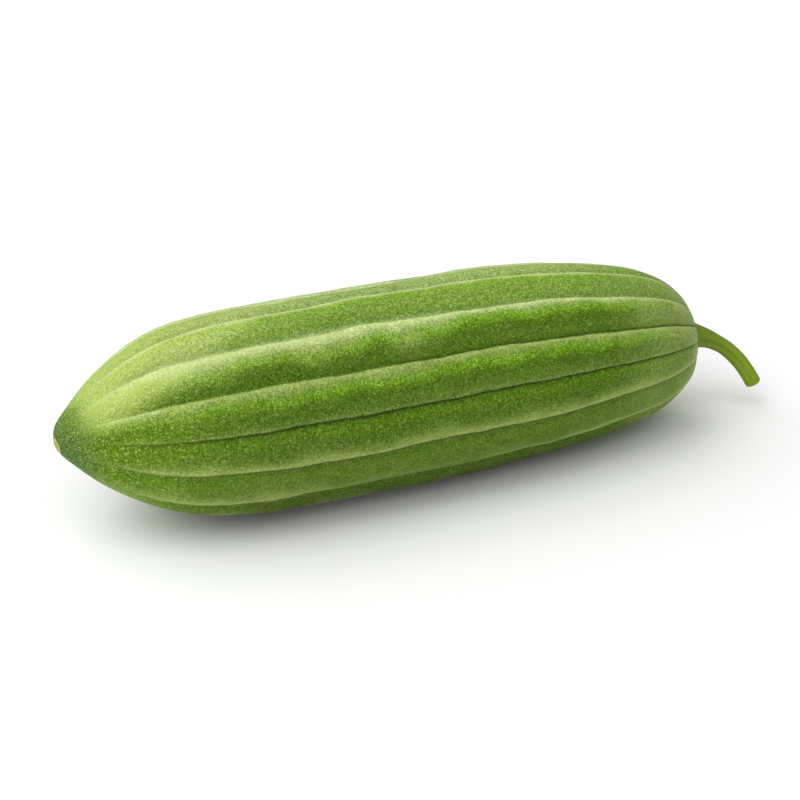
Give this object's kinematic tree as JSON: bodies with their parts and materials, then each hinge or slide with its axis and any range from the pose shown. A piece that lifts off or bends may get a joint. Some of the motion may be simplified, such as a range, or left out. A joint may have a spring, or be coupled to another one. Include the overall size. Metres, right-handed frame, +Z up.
{
  "type": "ridge gourd",
  "caption": "Long ridged green gourd lying on its side, tapering to a blunt blossom tip, with a short curved cut stem; food or still-life item.",
  "frame": {"origin": "bottom centre of the whole part's box, on the surface that the gourd lies on", "axes": "+X along the fruit from its blossom tip to its stem end, +Y across it, +Z up"},
  "size_m": [0.2402, 0.0642, 0.064],
  "materials": {
    "gourd_skin": "fresh gourd skin: mid green with pale ridge crests and fine pale flecks, velvety satin",
    "stem_skin": "fresh yellow-green stalk with fine lengthwise ribs, satin, pale at the cut end"
  },
  "bodies": {
    "root": {"fruit": "gourd_skin", "stem": "stem_skin"}
  },
  "joints": []
}
